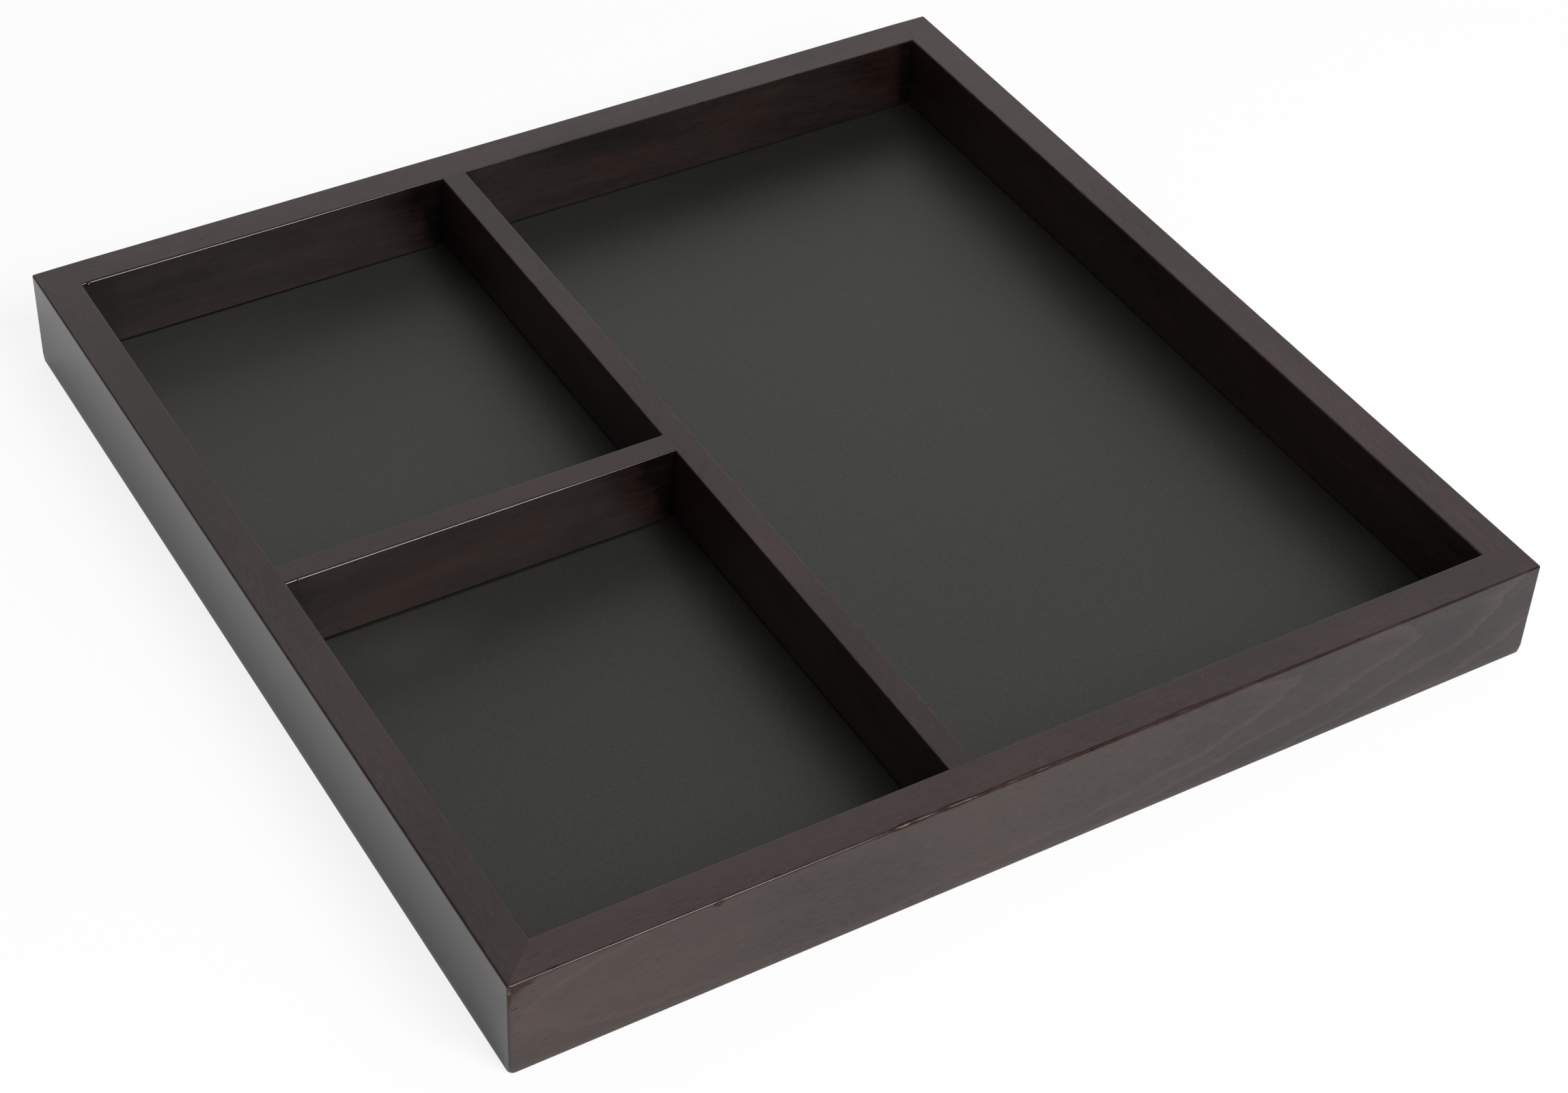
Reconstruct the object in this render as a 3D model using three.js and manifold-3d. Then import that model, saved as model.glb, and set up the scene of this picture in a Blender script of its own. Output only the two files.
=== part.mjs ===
// Square wooden serving tray with a chalkboard floor in one large and two small compartments.
// Millimetres, +Z up. X runs from the left rail to the right rail, Y from the front rail to the back rail.
// The origin is the middle of the underside, on the surface that the tray stands on.

import * as THREE from 'three';
import { mergeVertices } from 'three/addons/utils/BufferGeometryUtils.js';
import Module from 'manifold-3d';

// Whole tray
const TRAY_LENGTH = 356; // left to right
const TRAY_DEPTH = 356; // front to back
const TRAY_HEIGHT = 36;

// Rails
const RAIL_THICKNESS = 13;
const EDGE_RADIUS = 0.8; // long edges of rails and dividers
const CORNER_RADIUS = 2; // upright outer corners

// Dividers
const DIVIDER_THICKNESS = 9;
const SMALL_BAY_WIDTH = 134; // left rail to long divider

// Chalkboard panel
const PANEL_LIFT = 4; // rail left below the panel
const PANEL_THICKNESS = 4;
const GROOVE_DEPTH = 5; // panel edge inside each rail

// Loose splines inside the corner mitres
const SPLINE_THICKNESS = 3;
const SPLINE_WIDTH = 8; // across the mitre
const SPLINE_COVER = 5; // from the floor and from the rim

// Dowels in the divider ends
const DOWEL_DIAMETER = 5;
const DOWEL_CHAMFER = 0.6;
const DOWEL_REACH = 14; // into the end of a divider
const DOWEL_BACK_WALL = 3.5; // wood left behind a dowel bore
const DOWELS_PER_END = 2;

// Countersunk screws, up through the panel into the dividers
const SCREW_DIAMETER = 3;
const SCREW_LENGTH = 15;
const SCREW_HEAD_DIAMETER = 6;
const SCREW_HEAD_RIM = 0.4;
const SCREW_HEAD_HEIGHT = 1.9;
const SCREW_TIP_LENGTH = 3;
const DRIVE_LENGTH = 3.4;
const DRIVE_WIDTH = 0.8;
const DRIVE_DEPTH = 1;
const LONG_DIVIDER_SCREWS = 4;
const CROSS_DIVIDER_SCREWS = 2;

// Fits
const GLUE_GAP = 0.2; // between glued faces
const FIT_PLAY = 0.25; // around the panel, splines, dowels and screws

// Smoothness of round forms
const ARC_STEPS = 3;
const ROUND_SIDES = 16;
const CUT_OVERRUN = 1; // how far a cut starts outside the wood

const STAINED_WOOD = { color: 0x3a302d, roughness: 0.42, metalness: 0 };
const CHALKBOARD = { color: 0x353735, roughness: 0.85, metalness: 0 };
const PLAIN_BEECH = { color: 0xc7a77c, roughness: 0.7, metalness: 0 };
const ZINC_STEEL = { color: 0xa9aba8, roughness: 0.35, metalness: 1 };

// Levels and places that follow from the sizes
const floorTop = PANEL_LIFT + PANEL_THICKNESS;
const dividerBottom = floorTop + GLUE_GAP;
const insideLength = TRAY_LENGTH - 2 * RAIL_THICKNESS;
const insideDepth = TRAY_DEPTH - 2 * RAIL_THICKNESS;
const longDividerLength = insideDepth - 2 * GLUE_GAP;
const crossDividerLength = SMALL_BAY_WIDTH - 2 * GLUE_GAP;
const longDividerX = -insideLength / 2 + SMALL_BAY_WIDTH + DIVIDER_THICKNESS / 2;
const crossDividerX = -insideLength / 2 + SMALL_BAY_WIDTH / 2;
const splineBottom = floorTop + SPLINE_COVER;
const splineTop = TRAY_HEIGHT - SPLINE_COVER;
const railSeat = RAIL_THICKNESS - DOWEL_BACK_WALL;
const dividerSeat = DIVIDER_THICKNESS - DOWEL_BACK_WALL;
const dowelLevels = evenSteps(DOWELS_PER_END, dividerBottom, TRAY_HEIGHT);

const wasm = await Module();
wasm.setup();

// Places that share a stretch evenly, with equal room between them and at both ends
function evenSteps(count, low, high) {
  return Array.from({ length: count }, (_, i) => low + ((high - low) * (i + 1)) / (count + 1));
}

// A closed geometry as a solid that can be joined and cut
function toSolid(geometry) {
  const bare = new THREE.BufferGeometry();
  bare.setAttribute('position', geometry.getAttribute('position'));
  bare.setIndex(geometry.getIndex());
  const merged = mergeVertices(bare);
  const corners = merged.getIndex().array;
  const triangles = [];
  for (let i = 0; i < corners.length; i += 3) {
    const [a, b, c] = corners.slice(i, i + 3);
    if (a !== b && b !== c && c !== a) {
      triangles.push(a, b, c);
    }
  }
  const mesh = new wasm.Mesh({
    numProp: 3,
    vertProperties: new Float32Array(merged.getAttribute('position').array),
    triVerts: new Uint32Array(triangles),
  });
  return new wasm.Manifold(mesh);
}

function toGeometry(solid) {
  const mesh = solid.getMesh();
  const geometry = new THREE.BufferGeometry();
  geometry.setAttribute('position', new THREE.BufferAttribute(mesh.vertProperties, 3));
  geometry.setIndex(new THREE.BufferAttribute(mesh.triVerts, 1));
  geometry.computeVertexNormals();
  return geometry;
}

function cutAway(solid, cutters) {
  return cutters.reduce((rest, cutter) => rest.subtract(toSolid(cutter)), solid);
}

function piece(name, geometry, finish) {
  const mesh = new THREE.Mesh(geometry, new THREE.MeshStandardMaterial({ ...finish, flatShading: true }));
  mesh.name = name;
  return mesh;
}

// A section drawn in the YZ plane, drawn out along X and centred there
function extrudeAlongX(section, length) {
  const geometry = new THREE.ExtrudeGeometry(section, {
    depth: length,
    bevelEnabled: false,
    curveSegments: ARC_STEPS,
  });
  geometry.translate(0, 0, -length / 2);
  const drawnAlongX = new THREE.Matrix4().makeBasis(
    new THREE.Vector3(0, 1, 0),
    new THREE.Vector3(0, 0, 1),
    new THREE.Vector3(1, 0, 0),
  );
  return geometry.applyMatrix4(drawnAlongX);
}

// A plan drawn in the XY plane, drawn up past the underside and the rim
function extrudeUp(plan) {
  const geometry = new THREE.ExtrudeGeometry(plan, {
    depth: TRAY_HEIGHT + 2 * CUT_OVERRUN,
    bevelEnabled: false,
    curveSegments: ARC_STEPS,
  });
  return geometry.translate(0, 0, -CUT_OVERRUN);
}

// A dowel's bore along X, from outside the wood's face at x = 0 to a depth in +X
function dowelBore(depth) {
  const radius = DOWEL_DIAMETER / 2 + FIT_PLAY;
  const length = depth + CUT_OVERRUN;
  const geometry = new THREE.CylinderGeometry(radius, radius, length, ROUND_SIDES);
  geometry.rotateZ(-Math.PI / 2);
  return geometry.translate(length / 2 - CUT_OVERRUN, 0, 0);
}

// Section of a rail: Y from the outer to the inner face, with round edges and the panel's groove
function railSection() {
  const r = EDGE_RADIUS;
  const grooveY = RAIL_THICKNESS - GROOVE_DEPTH - FIT_PLAY;
  const section = new THREE.Shape();
  section.absarc(r, r, r, -Math.PI, -Math.PI / 2, false);
  section.absarc(RAIL_THICKNESS - r, r, r, -Math.PI / 2, 0, false);
  section.lineTo(RAIL_THICKNESS, PANEL_LIFT - FIT_PLAY);
  section.lineTo(grooveY, PANEL_LIFT - FIT_PLAY);
  section.lineTo(grooveY, floorTop + FIT_PLAY);
  section.lineTo(RAIL_THICKNESS, floorTop + FIT_PLAY);
  section.absarc(RAIL_THICKNESS - r, TRAY_HEIGHT - r, r, 0, Math.PI / 2, false);
  section.absarc(r, TRAY_HEIGHT - r, r, Math.PI / 2, Math.PI, false);
  return section;
}

// Plan of a rail: mitred ends half a glue gap back from the corner's diagonal, outer corners rounded
function railPlan(span) {
  const half = span / 2;
  const r = CORNER_RADIUS;
  const innerY = RAIL_THICKNESS + CUT_OVERRUN;
  const innerHalf = half - innerY - (GLUE_GAP / 2) * Math.SQRT2;
  const mitreAngle = Math.PI / 4 + Math.asin(GLUE_GAP / 2 / r);
  const plan = new THREE.Shape();
  plan.moveTo(innerHalf, innerY);
  plan.lineTo(-innerHalf, innerY);
  plan.absarc(-half + r, r, r, mitreAngle - Math.PI, -Math.PI / 2, false);
  plan.absarc(half - r, r, r, -Math.PI / 2, -mitreAngle, false);
  return plan;
}

function splineBlock(play) {
  const geometry = new THREE.BoxGeometry(
    SPLINE_WIDTH + 2 * play,
    SPLINE_THICKNESS + 2 * play,
    splineTop - splineBottom + 2 * play,
  );
  return geometry.translate(0, 0, (splineBottom + splineTop) / 2);
}

// A rail along X with its outer face at y = 0; dividers meet its inner face at the joint places
function rail(name, span, dividerJoints) {
  const blank = toSolid(extrudeAlongX(railSection(), span));
  const mitred = blank.intersect(toSolid(extrudeUp(railPlan(span))));
  const splineSlots = [-1, 1].map((end) => {
    const slot = splineBlock(FIT_PLAY).rotateZ((end * Math.PI) / 4);
    return slot.translate((end * (span - RAIL_THICKNESS)) / 2, RAIL_THICKNESS / 2, 0);
  });
  const dowelBores = dividerJoints.flatMap((x) => dowelLevels.map((z) => {
    return dowelBore(railSeat).rotateZ(-Math.PI / 2).translate(x, RAIL_THICKNESS, z);
  }));
  return piece(name, toGeometry(cutAway(mitred, [...splineSlots, ...dowelBores])), STAINED_WOOD);
}

function placedRail(name, span, dividerJoints, x, y, turn) {
  const side = new THREE.Group();
  side.add(rail(name, span, dividerJoints));
  side.position.set(x, y, 0);
  side.rotation.z = turn;
  return side;
}

function cornerSpline(name, sideX, sideY) {
  const spline = piece(name, splineBlock(0), PLAIN_BEECH);
  spline.position.set(
    (sideX * (TRAY_LENGTH - RAIL_THICKNESS)) / 2,
    (sideY * (TRAY_DEPTH - RAIL_THICKNESS)) / 2,
    0,
  );
  spline.rotation.z = (-sideX * sideY * Math.PI) / 4;
  return spline;
}

// A dowel along X, from the end of its bore in the seat (x < 0) to the end of its bore in a divider
function dowel(name, seat) {
  const low = FIT_PLAY - seat;
  const high = GLUE_GAP + DOWEL_REACH - FIT_PLAY;
  const r = DOWEL_DIAMETER / 2;
  const outline = [
    [0, low],
    [r - DOWEL_CHAMFER, low],
    [r, low + DOWEL_CHAMFER],
    [r, high - DOWEL_CHAMFER],
    [r - DOWEL_CHAMFER, high],
    [0, high],
  ];
  const points = outline.map(([radius, along]) => new THREE.Vector2(radius, along));
  const geometry = new THREE.LatheGeometry(points, ROUND_SIDES).rotateZ(-Math.PI / 2);
  return piece(name, toGeometry(toSolid(geometry)), PLAIN_BEECH);
}

// A screw's round outline along Z from its head at z = 0, or its bore when grown by some play
function screwBlank(play) {
  const headRadius = SCREW_HEAD_DIAMETER / 2 + play;
  const shankRadius = SCREW_DIAMETER / 2 + play;
  const outline = [
    [0, -play],
    [headRadius, -play],
    [headRadius, SCREW_HEAD_RIM],
    [shankRadius, SCREW_HEAD_HEIGHT],
    [shankRadius, SCREW_LENGTH - SCREW_TIP_LENGTH],
    [0, SCREW_LENGTH + play],
  ];
  const points = outline.map(([radius, along]) => new THREE.Vector2(radius, along));
  return new THREE.LatheGeometry(points, ROUND_SIDES).rotateX(Math.PI / 2);
}

function screw(name) {
  const slotHeight = DRIVE_DEPTH + CUT_OVERRUN;
  const slots = [0, Math.PI / 2].map((turn) => {
    const slot = new THREE.BoxGeometry(DRIVE_LENGTH, DRIVE_WIDTH, slotHeight);
    return slot.rotateZ(turn).translate(0, 0, DRIVE_DEPTH - slotHeight / 2);
  });
  return piece(name, toGeometry(cutAway(toSolid(screwBlank(0)), slots)), ZINC_STEEL);
}

// Section of a divider: Y across its thickness, from the panel to the rim, with round top edges
function dividerSection() {
  const half = DIVIDER_THICKNESS / 2;
  const r = EDGE_RADIUS;
  const section = new THREE.Shape();
  section.moveTo(-half, dividerBottom);
  section.lineTo(half, dividerBottom);
  section.absarc(half - r, TRAY_HEIGHT - r, r, 0, Math.PI / 2, false);
  section.absarc(-half + r, TRAY_HEIGHT - r, r, Math.PI / 2, Math.PI, false);
  return section;
}

// A divider along X with its dowels and screws. Each end has a side, -1 or 1, and the depth of its dowels'
// seat in the wood it meets. Another divider may meet the +Y face at the side joints.
function divider(name, length, ends, screwPlaces, sideJoints) {
  const assembly = new THREE.Group();
  const cutters = [];
  for (const { end, side, seat } of ends) {
    const turn = side > 0 ? Math.PI : 0;
    dowelLevels.forEach((z, i) => {
      cutters.push(dowelBore(DOWEL_REACH).rotateZ(turn).translate((side * length) / 2, 0, z));
      const pin = dowel(`${name}_dowel_${end}_${i + 1}`, seat);
      pin.position.set(side * (length / 2 + GLUE_GAP), 0, z);
      pin.rotation.z = turn;
      assembly.add(pin);
    });
  }
  for (const x of sideJoints) {
    for (const z of dowelLevels) {
      cutters.push(dowelBore(dividerSeat).rotateZ(-Math.PI / 2).translate(x, DIVIDER_THICKNESS / 2, z));
    }
  }
  screwPlaces.forEach((x, i) => {
    cutters.push(screwBlank(FIT_PLAY).translate(x, 0, PANEL_LIFT));
    const fixing = screw(`${name}_screw_${i + 1}`);
    fixing.position.set(x, 0, PANEL_LIFT);
    assembly.add(fixing);
  });
  const blank = toSolid(extrudeAlongX(dividerSection(), length));
  assembly.add(piece(name, toGeometry(cutAway(blank, cutters)), STAINED_WOOD));
  return assembly;
}

// The floor, with its edges in the rails' grooves and countersunk holes under the dividers
function chalkboardPanel(screwSpots) {
  const geometry = new THREE.BoxGeometry(
    insideLength + 2 * GROOVE_DEPTH,
    insideDepth + 2 * GROOVE_DEPTH,
    PANEL_THICKNESS,
  );
  const board = toSolid(geometry.translate(0, 0, (PANEL_LIFT + floorTop) / 2));
  const holes = screwSpots.map(([x, y]) => screwBlank(FIT_PLAY).translate(x, y, PANEL_LIFT));
  return piece('chalkboard_panel', toGeometry(cutAway(board, holes)), CHALKBOARD);
}

const longDividerScrews = evenSteps(LONG_DIVIDER_SCREWS, -longDividerLength / 2, longDividerLength / 2);
const crossDividerScrews = evenSteps(CROSS_DIVIDER_SCREWS, -crossDividerLength / 2, crossDividerLength / 2);

const longDivider = divider(
  'long_divider',
  longDividerLength,
  [
    { end: 'front', side: -1, seat: railSeat },
    { end: 'back', side: 1, seat: railSeat },
  ],
  longDividerScrews,
  [0],
);
longDivider.position.x = longDividerX;
longDivider.rotation.z = Math.PI / 2;

const crossDivider = divider(
  'cross_divider',
  crossDividerLength,
  [
    { end: 'left', side: -1, seat: railSeat },
    { end: 'right', side: 1, seat: dividerSeat },
  ],
  crossDividerScrews,
  [],
);
crossDivider.position.x = crossDividerX;

const panel = chalkboardPanel([
  ...longDividerScrews.map((y) => [longDividerX, y]),
  ...crossDividerScrews.map((x) => [crossDividerX + x, 0]),
]);

const tray = new THREE.Group();
tray.add(
  placedRail('front_rail', TRAY_LENGTH, [longDividerX], 0, -TRAY_DEPTH / 2, 0),
  placedRail('back_rail', TRAY_LENGTH, [-longDividerX], 0, TRAY_DEPTH / 2, Math.PI),
  placedRail('left_rail', TRAY_DEPTH, [0], -TRAY_LENGTH / 2, 0, -Math.PI / 2),
  placedRail('right_rail', TRAY_DEPTH, [], TRAY_LENGTH / 2, 0, Math.PI / 2),
  cornerSpline('corner_spline_front_left', -1, -1),
  cornerSpline('corner_spline_front_right', 1, -1),
  cornerSpline('corner_spline_back_left', -1, 1),
  cornerSpline('corner_spline_back_right', 1, 1),
  longDivider,
  crossDivider,
  panel,
);

export default tray;
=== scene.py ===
"""Looks of the chalkboard serving tray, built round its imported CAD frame."""

import math

import bpy
from mathutils import Matrix, Vector, noise

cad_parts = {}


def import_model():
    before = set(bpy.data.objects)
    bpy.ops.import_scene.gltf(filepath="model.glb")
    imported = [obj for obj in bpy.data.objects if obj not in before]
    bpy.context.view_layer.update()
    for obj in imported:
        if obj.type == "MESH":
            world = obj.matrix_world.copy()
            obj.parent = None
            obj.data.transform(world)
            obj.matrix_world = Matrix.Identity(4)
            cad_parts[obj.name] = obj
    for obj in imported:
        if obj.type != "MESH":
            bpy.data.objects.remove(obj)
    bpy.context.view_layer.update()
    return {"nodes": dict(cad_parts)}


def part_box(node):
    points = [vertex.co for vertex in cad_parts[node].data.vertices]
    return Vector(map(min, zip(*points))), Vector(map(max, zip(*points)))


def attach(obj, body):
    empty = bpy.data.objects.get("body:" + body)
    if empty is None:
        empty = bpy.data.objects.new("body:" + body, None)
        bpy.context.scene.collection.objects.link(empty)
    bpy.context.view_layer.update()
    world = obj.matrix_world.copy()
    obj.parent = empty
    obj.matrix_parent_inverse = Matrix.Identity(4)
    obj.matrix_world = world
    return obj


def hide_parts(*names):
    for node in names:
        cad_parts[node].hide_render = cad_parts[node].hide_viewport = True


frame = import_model()

BODY = "root"
MM = 0.001
X_AXIS = 0
Y_AXIS = 1

# Sizes read from the CAD frame, in metres
FRONT_LOW, FRONT_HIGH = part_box("front_rail")
LONG_LOW, LONG_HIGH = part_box("long_divider")
CROSS_LOW, CROSS_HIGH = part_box("cross_divider")
PANEL_LOW, PANEL_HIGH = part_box("chalkboard_panel")
HALF = -FRONT_LOW.y
HEIGHT = FRONT_HIGH.z
RAIL = FRONT_HIGH.y - FRONT_LOW.y
INNER = HALF - RAIL

# Shape of the wooden pieces, in metres
LOW_EDGE_RADIUS = 0.5 * MM
CORNER_RADIUS = 0.8 * MM
FOOT_CORNER_RADIUS = 2.0 * MM
FOOT_CORNER_RISE = 3.0 * MM
GROOVE_DEPTH = 5.0 * MM
GROOVE_PLAY = 0.25 * MM
GROOVE_EASE = 0.2 * MM
DIVIDER_LIFT = 0.45 * MM
DIVIDER_EASE = 0.3 * MM
DIVIDER_FOOT = PANEL_HIGH.z + DIVIDER_LIFT
JOINT_GAP = 0.008 * MM
CORNER_LEAD = 2.0 * MM
CORNER_ZONE = RAIL + CORNER_LEAD
STATION_STEP = 2.0 * MM

# Rows of points beside each rounded top edge, in metres: its wear ends at the second
WEAR_REACH = (0.4 * MM, 1.0 * MM)

# One more row down the outer face of each rail, in metres, for the worn spots
SPOT_ROW = 3.0 * MM

# Steps of the curves, and angles in degrees
ARC_STEPS = 6
LOW_ARC_STEPS = 4
CORNER_STEPS = 4
CORNER_STATIONS = CORNER_STEPS + 2
MITRE_ANGLE = 45
SHARP_ANGLE = 32

# How far each divider's ends reach into the glue gaps of the CAD
END_REACH = {
    "long_divider": INNER - LONG_HIGH.y - JOINT_GAP,
    "cross_divider": LONG_LOW.x - CROSS_HIGH.x - JOINT_GAP,
}

# Boards and edges that the two ends of each divider meet
MEETINGS = {
    "long_divider": (("front_rail", "inner"), ("back_rail", "inner")),
    "cross_divider": (("left_rail", "inner"), ("long_divider", "left")),
}

# Quarter turns that bring the front rail to each side, as (cosine, sine)
SIDE_TURNS = {"front_rail": (1, 0), "right_rail": (0, 1), "back_rail": (-1, 0), "left_rail": (0, -1)}

# Rounded top edges: (place along the board from -1 to 1, radius in millimetres)
EVEN_RADII = [(-1, 0.6), (1, 0.6)]
EDGE_RADII = {
    ("front_rail", "outer"): [
        (-1, 0.6), (-0.33, 0.7), (-0.28, 1.5), (-0.245, 0.8), (-0.22, 1.5), (-0.17, 0.8), (-0.1, 1.2),
        (-0.05, 1.4), (0.03, 1.0), (0.18, 1.0), (0.23, 1.5), (0.29, 1.1), (0.5, 0.8), (0.9, 0.65), (1, 0.6),
    ],
    ("left_rail", "outer"): [(-1, 0.6), (-0.5, 0.65), (0.2, 0.75), (0.9, 0.7), (1, 0.6)],
    ("back_rail", "outer"): [(-1, 0.6), (-0.92, 0.35), (0.92, 0.35), (1, 0.6)],
    ("back_rail", "inner"): [
        (-1, 0.6), (-0.9, 0.55), (-0.8, 0.3), (0.26, 0.3), (0.46, 0.8), (0.9, 0.9), (1, 0.6),
    ],
    ("cross_divider", "front"): [(-1, 0.9), (0.3, 0.8), (0.6, 0.45), (1, 0.25)],
    ("long_divider", "left"): [(-1, 0.35), (1, 0.5)],
}

# Wander of those radii: share of the radius, cells along half a board, and how fast it starts at the ends
WANDER_SHARE = 0.16
WANDER_CELLS = 50
WANDER_FADE = 20

# Rubbed edges: (place along the board from -1 to 1, how far the stain is rubbed through)
FAINT_WEAR = [(-1, 0.22), (1, 0.22)]
EDGE_WEAR = {
    ("front_rail", "outer"): [
        (-1, 0.4), (-0.66, 0.35), (-0.36, 0.4), (-0.3, 0.7), (-0.24, 0.4), (-0.2, 0.6), (-0.14, 0.5),
        (-0.08, 0.4), (0.05, 0.55), (0.15, 0.4), (0.6, 0.33), (1, 0.3),
    ],
    ("left_rail", "outer"): [(-1, 0.15), (0.4, 0.2), (0.5, 0.45), (0.6, 0.2), (1, 0.3)],
    ("left_rail", "inner"): [(-1, 0.2), (1, 0.3)],
    ("back_rail", "inner"): [(-1, 0.2), (0.2, 0.2), (0.5, 0.3), (1, 0.3)],
    ("cross_divider", "front"): [(-1, 0.28), (0, 0.3), (1, 0.25)],
    ("long_divider", "left"): [(-1, 0.3), (-0.7, 0.55), (-0.5, 0.35), (1, 0.25)],
    ("long_divider", "right"): [(-1, 0.55), (-0.9, 0.3), (1, 0.25)],
}

# Single worn spots: place on the board as (along, depth, height) and reach, both in metres,
# and how far the stain is rubbed through
WORN_SPOTS = {
    "front_rail": [
        ((0.5 * MM, 0.5 * MM, HEIGHT - 2.0 * MM), 3.0 * MM, 1.0),
        ((64 * MM, 0.0, HEIGHT - 0.8 * MM), 2.2 * MM, 0.9),
    ],
}

# Drops of lacquer that dried in inner corners: centre and half sizes in metres
LACQUER_DROPS = {
    "lacquer_drop_back": ((-162.7 * MM, 165.1 * MM, HEIGHT - 0.75 * MM), (1.3 * MM, 0.8 * MM, 0.7 * MM)),
    "lacquer_drop_cross": ((-161.2 * MM, -4.4 * MM, HEIGHT - 0.5 * MM), (0.6 * MM, 0.5 * MM, 0.45 * MM)),
}
DROP_STEPS = 12
DROP_WANDER = 0.12

# Tone of each board along its faces and along the rim: 0 or less is the darkest stain, 1 the lightest
BOARD_TONES = {
    # On the front rail the face tone falls towards the right end, partly as painted shade that evens out
    # the front lamp's stronger light there
    "front_rail": (
        [(-1, 0.86), (-0.7, 0.82), (-0.5, 0.65), (0.3, 0.62), (0.5, 0.32), (1, 0.26)],
        [(-1, 0.58), (-0.8, 0.55), (-0.55, 0.38), (0.3, 0.36), (1, 0.28)],
    ),
    # Painted light: the right rail's shaded inner face gets a lighter face tone
    "right_rail": ([(-1, 0.48)], [(-1, 0.43)]),
    "back_rail": ([(-1, 0.19), (-0.5, 0.2), (0.1, 0.27), (0.2, 0.22), (1, 0.21)], [(-1, 0.4)]),
    # On the left rail the face tone rises towards the back end: painted reflection of the lit floor beyond
    # the back corner
    "left_rail": (
        [(-1, 0.7), (-0.93, 0.45), (-0.83, 0.29)],
        [(-1, 0.18), (-0.6, 0.06), (-0.28, -0.2), (0, 0.05), (0.28, 0.3), (0.55, 0.18), (1, 0.14)],
    ),
    # Painted light: the long divider's shaded side walls get a lighter face tone
    "long_divider": (
        [(-1, 0.48)],
        [(-1, 0.1), (-0.6, 0.2), (-0.3, 0.4), (0, 0.25), (0.4, 0.12), (1, 0.06)],
    ),
    "cross_divider": ([(-1, 0.29), (0.2, 0.29), (0.5, 0.2), (1, 0.15)], [(-1, 0.3)]),
}

# Painted shade at the foot: share of the tone that the outer faces keep below the panel
FOOT_PAINTED_SHADE_SHARE = 0.95

# How far the stain turns red on the faces inside the tray
# Painted shade: the inner faces of the right rail and the long divider lie in shade and keep less red,
# greyer
INNER_REDNESS = {"right_rail": 0.3, "long_divider": 0.3}
INNER_REDNESS_FULL = 1.0

# Painted shade that darkens the stain near inner corners, where the boards shade each other:
# place along the board, reach at the foot and at the rim, all in metres, and loss of tone
CORNER_PAINTED_SHADE = {
    "cross_divider": [(0.0, 12 * MM, 12 * MM, 0.3), (134 * MM, 4 * MM, 15 * MM, 0.75)],
    "back_rail": [
        (343 * MM, 14 * MM, 14 * MM, 0.5),
        (209 * MM, 5 * MM, 17 * MM, 0.75),
        (13 * MM, 6 * MM, 8 * MM, 0.5),
    ],
}

# Where each board starts in the wood's noise, so that no two are alike
SEED_STEP = 7.3
BOARD_SEEDS = {name: SEED_STEP * k for k, name in enumerate(BOARD_TONES)}

# Middle of the growth loops on each board: share of the length, depth and height in metres
LOOP_CENTRES = {
    "front_rail": (0.368, 0.0, 24 * MM),
    "right_rail": (0.7, 5 * MM, 60 * MM),
    "back_rail": (0.62, 4 * MM, -20 * MM),
    "left_rail": (0.3, 6 * MM, 62 * MM),
    "long_divider": (0.45, 1 * MM, 70 * MM),
    "cross_divider": (0.55, 0.0, -26 * MM),
}

# Those loops: reach in metres, slope along the board, lines in one reach, how many of them are left out
# in the middle, and the part of the way from line to line that a line fills
LOOP_REACH = (130 * MM, 40 * MM, 21 * MM)
LOOP_RISE = 0.04
LINES_PER_REACH = 3.0
FIRST_LINE = 2.35
LINE_RAMP = (0.7, 1.0)

# How plainly the growth lines show through the stain
FIGURE_STRENGTH = {"front_rail": 0.33}
FIGURE_FAINT = 0.04
FIGURE_ON_TOP = 0.1

# Noise of the materials, as cells per metre: along, across and up a board, or along the axes
WOOD_CELLS = {
    "blotches": (14, 50, 50),
    "reds": (20, 45, 45),
    "fibres": (230, 2100, 2100),
    "wander": (28, 75, 75),
    "frayed": (150, 900, 900),
    "rubbing": (150, 900, 900),
    "chips": (190, 700, 700),
    "sheen": (60, 220, 220),
    "ripple": (90, 260, 260),
}
PANEL_CELLS = {
    "clouds": (14, 14, 14),
    "speckle": (1300, 1300, 1300),
    "fibres": (240, 240, 240),
}
DROP_CELLS = (900, 900, 900)
BEECH_CELLS = (700, 700, 160)
ZINC_CELLS = (900, 900, 900)

# Parts of the range of a noise, or of two noises added, that a material uses
WHOLE_RANGE = (0.0, 1.0)
NOISE_WIDE = (0.2, 0.8)
NOISE_MOST = (0.25, 0.75)
NOISE_MIDDLE = (0.3, 0.7)
NOISE_NARROW = (0.35, 0.65)
NOISE_CHIPS = (0.64, 0.68)
NOISE_BROWN = (0.35, 0.7)
NOISE_MOTTLE = (0.55, 1.25)
NOISE_PAINT = (0.6, 1.4)

# Stained wood: how far its noises move the growth lines, the tone, the red and the rubbing
LINE_WANDER = (-0.35, 0.35)
LINE_FRAY = (-0.08, 0.08)
BLOTCH_SWING = (-0.3, 0.3)
STREAK_SWING = (-0.4, 0.4)
RED_PATCHES = (0.15, 1.0)
RUB_SWING = (0.4, 1.3)

# Stained wood: share of the streaks left where the stain isn't red and where it is fully red
STREAKS_LEFT = (1.0, 0.4)

# Stained wood: levels of facing up, of rubbing and of wear between which one look gives way to the next
RIM_FACING = (0.4, 0.95)
RUBBED_RED = (0.2, 0.4)
RUBBED_BARE = (0.5, 0.8)
CHIPPED_WEAR = (0.03, 0.12)
DULLED_WEAR = (0.3, 0.45)

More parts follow.
